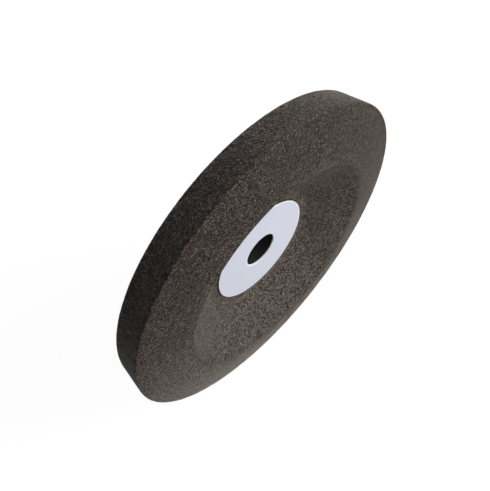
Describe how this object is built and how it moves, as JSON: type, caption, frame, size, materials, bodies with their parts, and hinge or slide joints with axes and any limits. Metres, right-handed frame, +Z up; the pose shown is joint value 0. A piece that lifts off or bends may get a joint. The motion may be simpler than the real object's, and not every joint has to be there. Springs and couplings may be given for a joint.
{
  "type": "diamond grinding wheel",
  "caption": "Dished diamond grinding wheel: an abrasive ring with a convex bevel round a moulded core with a conical dish, an arbor bush and a paper blotter on each face.",
  "frame": {"origin": "middle of the arbor bore, on the wheel's axis and halfway through the web", "axes": "the wheel spins about Y, its dished front looks along -Y, and +Z is up"},
  "size_m": [0.1522, 0.0196, 0.1522],
  "materials": {
    "diamond_bond": "coarse matte grit in a grey-brown bond",
    "core_filler": "fine matte grit, a little smoother than the ring",
    "bush_resin": "black granular resin moulding",
    "front_paper": "pale cool grey blotter paper with a white cut edge",
    "rear_paper": "pale cool grey blotter paper with a white cut edge"
  },
  "bodies": {
    "root": {"diamond_ring": "diamond_bond", "wheel_core": "core_filler", "arbor_bush": "bush_resin", "front_blotter": "front_paper", "rear_blotter": "rear_paper"}
  },
  "joints": []
}
